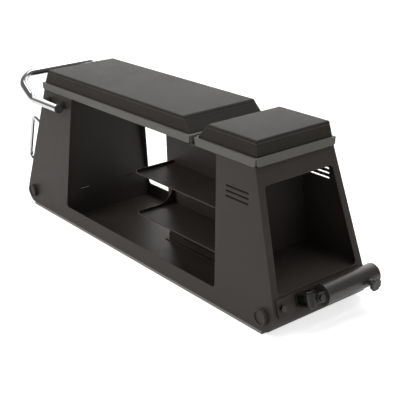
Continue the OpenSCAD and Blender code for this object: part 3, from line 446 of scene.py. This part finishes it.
def stacked_rings(name, rings, material, crease=40.0):
    """Closed skin through rings of points, with a point added in the middle of each end."""
    count = len(rings[0])
    points = [p for ring in rings for p in ring]
    ends = [sum(ring, Vector()) / count for ring in (rings[0], rings[-1])]
    faces = []
    for k in range(len(rings) - 1):
        for i in range(count):
            j = (i + 1) % count
            faces.append((k * count + i, k * count + j, (k + 1) * count + j, (k + 1) * count + i))
    top = (len(rings) - 1) * count
    for i in range(count):
        j = (i + 1) % count
        faces.append((j, i, len(points)))
        faces.append((top + i, top + j, len(points) + 1))
    mesh = bpy.data.meshes.new(name)
    mesh.from_pydata(points + ends, [], faces)
    face_outward(mesh)
    mesh.shade_smooth()
    mesh.set_sharp_from_angle(angle=math.radians(crease))
    mesh.materials.append(material)
    return placed(name, mesh)


def board(name, node, pad, slope_head, slope_foot, body):
    """Board over its CAD node: rounded corners, eased edges, and ends that lean with the pad's."""
    low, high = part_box(node)
    pad_low, pad_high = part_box(pad)
    rings = []
    levels = ((low.z, board_ease), (low.z + board_ease, 0.0),
              (high.z - board_ease, 0.0), (high.z, board_ease))
    for z, ease in levels:
        up = (z - pad_low.z) / (pad_high.z - pad_low.z)
        x0 = max(low.x, pad_low.x + slope_head * up + board_cover) + ease + board_corner
        x1 = min(high.x, pad_high.x - slope_foot * up - board_cover) - ease - board_corner
        y = min(high.y, pad_high.y - pad_slope * up - board_cover) - ease - board_corner
        ring = []
        for cx, cy, first in ((x1, y, 0), (x0, y, 90), (x0, -y, 180), (x1, -y, 270)):
            for k in range(7):
                turn = math.radians(first + 15 * k)
                ring.append(Vector((cx + board_corner * math.cos(turn),
                                    cy + board_corner * math.sin(turn), z)))
        rings.append(ring)
    piece = stacked_rings(name, rings, birch)
    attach(piece, body)
    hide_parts(node)


birch = plywood("birch_plywood", (0.50, 0.36, 0.21))
board_corner = 0.012
board_ease = 0.001
board_cover = 0.004
board("back_panel", "back_board", "back_pad", *back_slopes, "backrest")
board("seat_panel", "seat_board", "seat_pad", *seat_slopes, "body")


# Bolts, hinge pins, the lock pin and its barrel are zinc-plated steel; the bolts and nuts round
# the bar socket and its clamp screw are plated black.
def plated_steel(name, color, low, high):
    """Bare or plated metal with fine scratches; low and high are its roughness."""
    material, tree, surface, coords = finish_named(name)
    soft, mask = rounded_edges(tree, 0.0007)
    cloud = blotches(tree, coords, 90.0, 4.0)
    tone = two_tone(tree, cloud, shade(color, 0.86), shade(color, 1.04))
    # Edges painted a quarter lighter: partly wear, partly a painted highlight.
    tree.links.new(two_tone(tree, mask, tone, shade(color, 1.25)), surface.inputs["Base Color"])
    dull = between(tree, blotches(tree, coords, 300.0, 4.0), low, high)
    tree.links.new(dull, surface.inputs["Roughness"])
    bump = add_node(tree, "ShaderNodeBump",
                    {"Strength": 0.08, "Distance": 0.0002, "Height": cloud, "Normal": soft})
    tree.links.new(bump.outputs["Normal"], surface.inputs["Normal"])
    surface.inputs["Metallic"].default_value = 1.0
    return material


zinc = plated_steel("zinc_plate", (0.42, 0.42, 0.43), 0.28, 0.45)
dress(zinc, "seat_bolts", "back_bolts", "hinge_pins", "lock_housing", "lock_pin", "handle_bolts",
      "peg_bolts")
black_zinc = plated_steel("black_zinc_plate", (0.075, 0.070, 0.066), 0.25, 0.40)
dress(black_zinc, "plate_bolts", "plate_nuts", "yaw_bolt", "pitch_bolt", "clamp_screw")


# Four pegs at the body's lower corners hold training bands. Each is turned steel with a raised
# rim round a sunk face, bolted on from inside, in the body's coat.
def full_turn(count):
    """Angles round a full turn in even steps."""
    return [2 * math.pi * k / count for k in range(count)]


peg_low, peg_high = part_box("band_pegs")
peg_r = (peg_high.z - peg_low.z) / 2
peg_reach = 0.0135
peg_sides = 64
panel_lean = math.radians(4.93)
panel_slope = math.tan(panel_lean)
# Each step of the face: how far in from the rim's top, and its share of the radius
peg_profile = ((0.0012, 1.0), (0.0004, 0.985), (0.0, 0.955), (0.0, 0.90), (0.0003, 0.88), (0.0032, 0.865),
               (0.0035, 0.845), (0.0035, 0.40))
for number, (x, side) in enumerate(((peg_low.x + peg_r, -1), (peg_high.x - peg_r, -1),
                                    (peg_low.x + peg_r, 1), (peg_high.x - peg_r, 1)), 1):
    circle = [(peg_r * math.cos(t), peg_r * math.sin(t)) for t in full_turn(peg_sides)]
    middle = Vector((x, side * peg_high.y, peg_low.z + peg_r))
    rings = [[middle + Vector((dx, -side * (peg_reach + panel_slope * dz), dz)) for dx, dz in circle]]
    for step, wide in peg_profile:
        rings.append([middle + Vector((dx * wide, -side * step, dz * wide)) for dx, dz in circle])
    peg = stacked_rings("band_peg_%d" % number, rings, body_coat)
    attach(peg, "body")
    if number == 1:
        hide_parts("band_pegs")


# The knobs are moulded black plastic with finger flutes, pressed onto their screws.
def plastic(name, color):
    """Moulded plastic with a fine spark-eroded skin."""
    material, tree, surface, coords = finish_named(name)
    skin = blotches(tree, coords, 1400.0, 2.0)
    tone = two_tone(tree, blotches(tree, coords, 25.0), shade(color, 0.85), shade(color, 1.15))
    tree.links.new(tone, surface.inputs["Base Color"])
    tree.links.new(between(tree, skin, 0.38, 0.50), surface.inputs["Roughness"])
    bump = add_node(tree, "ShaderNodeBump", {"Strength": 0.15, "Distance": 0.0002, "Height": skin})
    tree.links.new(bump.outputs["Normal"], surface.inputs["Normal"])
    return material


moulded = plastic("black_plastic", (0.028, 0.027, 0.026))


flutes = 8
flute_steps = 10
flute_depth = 0.13
flute_narrowing = 1.5
# Each ring of a knob: its share of the length, its share of the radius, how deep the flutes cut
knob_profile = ((0.0, 0.62, 0), (0.05, 0.66, 0), (0.16, 0.70, 0), (0.24, 0.90, 0.5), (0.32, 0.97, 1),
                (0.40, 1.0, 1), (0.78, 1.0, 1), (0.88, 0.97, 1), (0.95, 0.90, 0.7), (0.985, 0.78, 0.2),
                (1.0, 0.62, 0), (0.97, 0.50, 0), (0.96, 0.2, 0))


def fluted_knob(name, node, axis, length, body):
    """Knob over its CAD node: a turned profile whose rim is cut by round flutes."""
    low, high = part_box(node)
    radius = sorted(high - low)[1] / 2
    axis = Vector(axis).normalized()
    side = axis.orthogonal().normalized()
    other = axis.cross(side)
    foot = (low + high) / 2 - axis * length / 2
    rings = []
    for up, wide, cut in knob_profile:
        ring = []
        for turn in full_turn(flutes * flute_steps):
            dip = flute_depth * cut * max(0.0, math.cos(flutes * turn)) ** flute_narrowing
            r = radius * wide * (1 - dip)
            ring.append(foot + axis * length * up + (side * math.cos(turn) + other * math.sin(turn)) * r)
        rings.append(ring)
    knob = stacked_rings(name, rings, moulded)
    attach(knob, body)
    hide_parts(node)


fluted_knob("clamp_grip", "clamp_knob", (0.9977, 0.0, -0.0675), 0.012, "clamp")
fluted_knob("lock_grip", "lock_knob", (0.0, -1.0, 0.0), 0.022, "lock")


# The carry handle is one chromed steel tube of 25.4 mm, bent at the knees and the corners.
# Plastic caps close its ends. The grab handles at the head end are bent from 12 mm rod.
def bent(corners, radius, steps=14):
    """Line through the corners with the inner ones rounded to the radius."""
    corners = [Vector(c) for c in corners]
    points = [corners[0]]
    for a, p, b in zip(corners, corners[1:], corners[2:]):
        u, v = (a - p).normalized(), (b - p).normalized()
        half = u.angle(v) / 2
        middle = p + (u + v).normalized() * radius / math.sin(half)
        start = (p + u * radius / math.tan(half) - middle).normalized()
        end = (p + v * radius / math.tan(half) - middle).normalized()
        points += [middle + start.slerp(end, k / steps) * radius for k in range(steps + 1)]
    return points + [corners[-1]]


def swept(name, path, radius, sides, material):
    """Round bar along a path, its ring carried on without twist."""
    rings = []
    across = None
    for i, p in enumerate(path):
        along = (path[min(i + 1, len(path) - 1)] - path[max(i - 1, 0)]).normalized()
        across = along.orthogonal() if across is None else across - along * across.dot(along)
        across.normalize()
        other = along.cross(across)
        rings.append([p + (across * math.cos(t) + other * math.sin(t)) * radius for t in full_turn(sides)])
    return stacked_rings(name, rings, material)


chrome = plated_steel("satin_chrome", (0.70, 0.70, 0.70), 0.08, 0.14)
tube_low, tube_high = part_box("carry_handle")
tube_r = 0.0127
tube_bend = 0.060
tube_sides = 40
handle_reach = 0.092
arm_y = tube_high.y - tube_r
arm_z = tube_low.z + tube_r
bar_x = tube_low.x + tube_r
bar_z = tube_high.z - tube_r
knee_x = bar_x + handle_reach
corners = [(tube_high.x, -arm_y, arm_z), (knee_x, -arm_y, arm_z), (bar_x, -arm_y, bar_z),
           (bar_x, arm_y, bar_z), (knee_x, arm_y, arm_z), (tube_high.x, arm_y, arm_z)]
carry_tube = swept("carry_tube", bent(corners, tube_bend), tube_r, tube_sides, chrome)
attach(carry_tube, "body")
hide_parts("carry_handle")

cap_r = -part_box("handle_plugs")[0].y - arm_y
# Each ring of a cap: how far out from the tube's end, and its share of the cap's radius
cap_shape = ((-0.010, 0.76), (-0.0001, 0.76), (0.0, 0.97), (0.0008, 1.0), (0.0032, 1.0), (0.0044, 0.93),
             (0.0050, 0.80), (0.0050, 0.5))
for side, label in ((-1, "front"), (1, "rear")):
    rings = []
    for step, wide in cap_shape:
        rings.append([Vector((tube_high.x + step, side * arm_y + cap_r * wide * math.cos(t),
                              arm_z + cap_r * wide * math.sin(t))) for t in full_turn(tube_sides)])
    cap = stacked_rings("tube_cap_" + label, rings, moulded)
    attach(cap, "body")
    if side < 0:
        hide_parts("handle_plugs")

head_lean = math.radians(18.36)
head_out = Vector((-math.cos(head_lean), 0.0, math.sin(head_lean)))
head_up = Vector((math.sin(head_lean), 0.0, math.cos(head_lean)))
grab_y = 0.130
grab_r = 0.006
grab_reach = 0.050
grab_span = 0.154
grab_bend = 0.020
grab_sides = 24
corner_in = 0.040
grab_out = 0.040
grab_up = 0.0773
wall_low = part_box("side_panel_front")[0]
lower_bend = Vector((wall_low.x + corner_in, 0.0, wall_low.z + corner_in))
grab_foot = lower_bend + head_out * grab_out + head_up * grab_up
for side, label in ((-1, "front"), (1, "rear")):
    foot = grab_foot + Vector((0.0, side * grab_y, 0.0))
    far = foot + head_up * grab_span
    line = bent([foot, foot + head_out * grab_reach, far + head_out * grab_reach, far], grab_bend)
    rod = swept("grab_rod_" + label, line, grab_r, grab_sides, chrome)
    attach(rod, "body")
    if side < 0:
        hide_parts("grab_handles")


# The studio: a white floor that keeps a faint shadow, a room that the camera sees white, a large
# soft lamp from the front left, one above and a small one at the foot end, and the camera at the
# place and with the lens that were fitted to the photograph.
def seen_directly(tree):
    """1 for what the camera sees straight or through glass."""
    path = add_node(tree, "ShaderNodeLightPath").outputs
    return add_node(tree, "ShaderNodeMath", {0: path["Is Camera Ray"], 1: path["Is Transmission Ray"]},
                    operation="MAXIMUM").outputs[0]


world = bpy.data.worlds.new("white_room")
bpy.context.scene.world = world
world.use_nodes = True
room = world.node_tree
room_light = 0.38
dark_side = 0.16
bright_side = 2.1
backdrop_way = (-0.79, 0.61, 0.0)
backdrop_edge = (0.40, 0.70)
direction = add_node(room, "ShaderNodeTexCoord").outputs["Generated"]
towards = add_node(room, "ShaderNodeVectorMath", {0: direction, 1: backdrop_way}, operation="DOT_PRODUCT")
backdrop = add_node(room, "ShaderNodeMapRange",
                    {"Value": towards.outputs["Value"], "From Min": backdrop_edge[0],
                     "From Max": backdrop_edge[1], "To Min": dark_side, "To Max": bright_side})
glossy = add_node(room, "ShaderNodeLightPath").outputs["Is Glossy Ray"]
in_gloss = between(room, glossy, room_light, backdrop.outputs["Result"])
strength = between(room, seen_directly(room), in_gloss, 1.0)
room.links.new(strength, room.nodes["Background"].inputs["Strength"])
room.nodes["Background"].inputs["Color"].default_value = (1.0, 1.0, 1.0, 1.0)

floor_mesh = bpy.data.meshes.new("floor")
floor_half = 9.0
floor_mesh.from_pydata([(-floor_half, -floor_half, 0), (floor_half, -floor_half, 0),
                        (floor_half, floor_half, 0), (-floor_half, floor_half, 0)], [], [(0, 1, 2, 3)])
floor = placed("floor", floor_mesh)
floor_paint, floor_tree, floor_surface, floor_coords = finish_named("floor_paint")
floor_glow = 0.70
mirrored_glow = 0.35
floor_cloud = blotches(floor_tree, floor_coords, 1.5)
floor_tone = two_tone(floor_tree, floor_cloud, (0.74, 0.74, 0.74), (0.76, 0.76, 0.76))
floor_tree.links.new(floor_tone, floor_surface.inputs["Base Color"])
floor_surface.inputs["Roughness"].default_value = 0.9
floor_surface.inputs["Specular IOR Level"].default_value = 0.1
floor_surface.inputs["Emission Color"].default_value = (1.0, 1.0, 1.0, 1.0)
floor_glossy = add_node(floor_tree, "ShaderNodeLightPath").outputs["Is Glossy Ray"]
mirrored = between(floor_tree, floor_glossy, 0.0, mirrored_glow)
glow = between(floor_tree, seen_directly(floor_tree), mirrored, floor_glow)
floor_tree.links.new(glow, floor_surface.inputs["Emission Strength"])
floor_mesh.materials.append(floor_paint)


bench_middle = Vector((0.0, 0.0, 0.25))


def soft_lamp(name, place, size, power, in_mirrors=True):
    """Square soft lamp at a place, turned to the bench; reflections show it if in_mirrors."""
    light = bpy.data.lights.new(name, "AREA")
    light.size = size
    light.energy = power
    lamp = placed(name, light)
    lamp.location = place
    lamp.rotation_euler = (bench_middle - lamp.location).to_track_quat("-Z", "Y").to_euler()
    lamp.visible_glossy = in_mirrors


soft_lamp("front_lamp", Vector((-1.6, -3.2, 2.4)), 2.2, 88.0, in_mirrors=False)
soft_lamp("top_lamp", Vector((0.3, 0.6, 3.6)), 2.6, 75.0)
soft_lamp("foot_lamp", Vector((3.2, 0.6, 2.0)), 1.2, 12.0)

camera_data = bpy.data.cameras.new("camera")
camera_data.lens = 79.845
camera_data.sensor_width = 36.0
camera = placed("camera", camera_data)
camera.location = (1.91334, -1.39730, 1.07961)
camera.rotation_euler = [math.radians(angle) for angle in (68.410, 1.447, 51.874)]
bpy.context.scene.camera = camera
bpy.context.scene.view_settings.view_transform = "Standard"
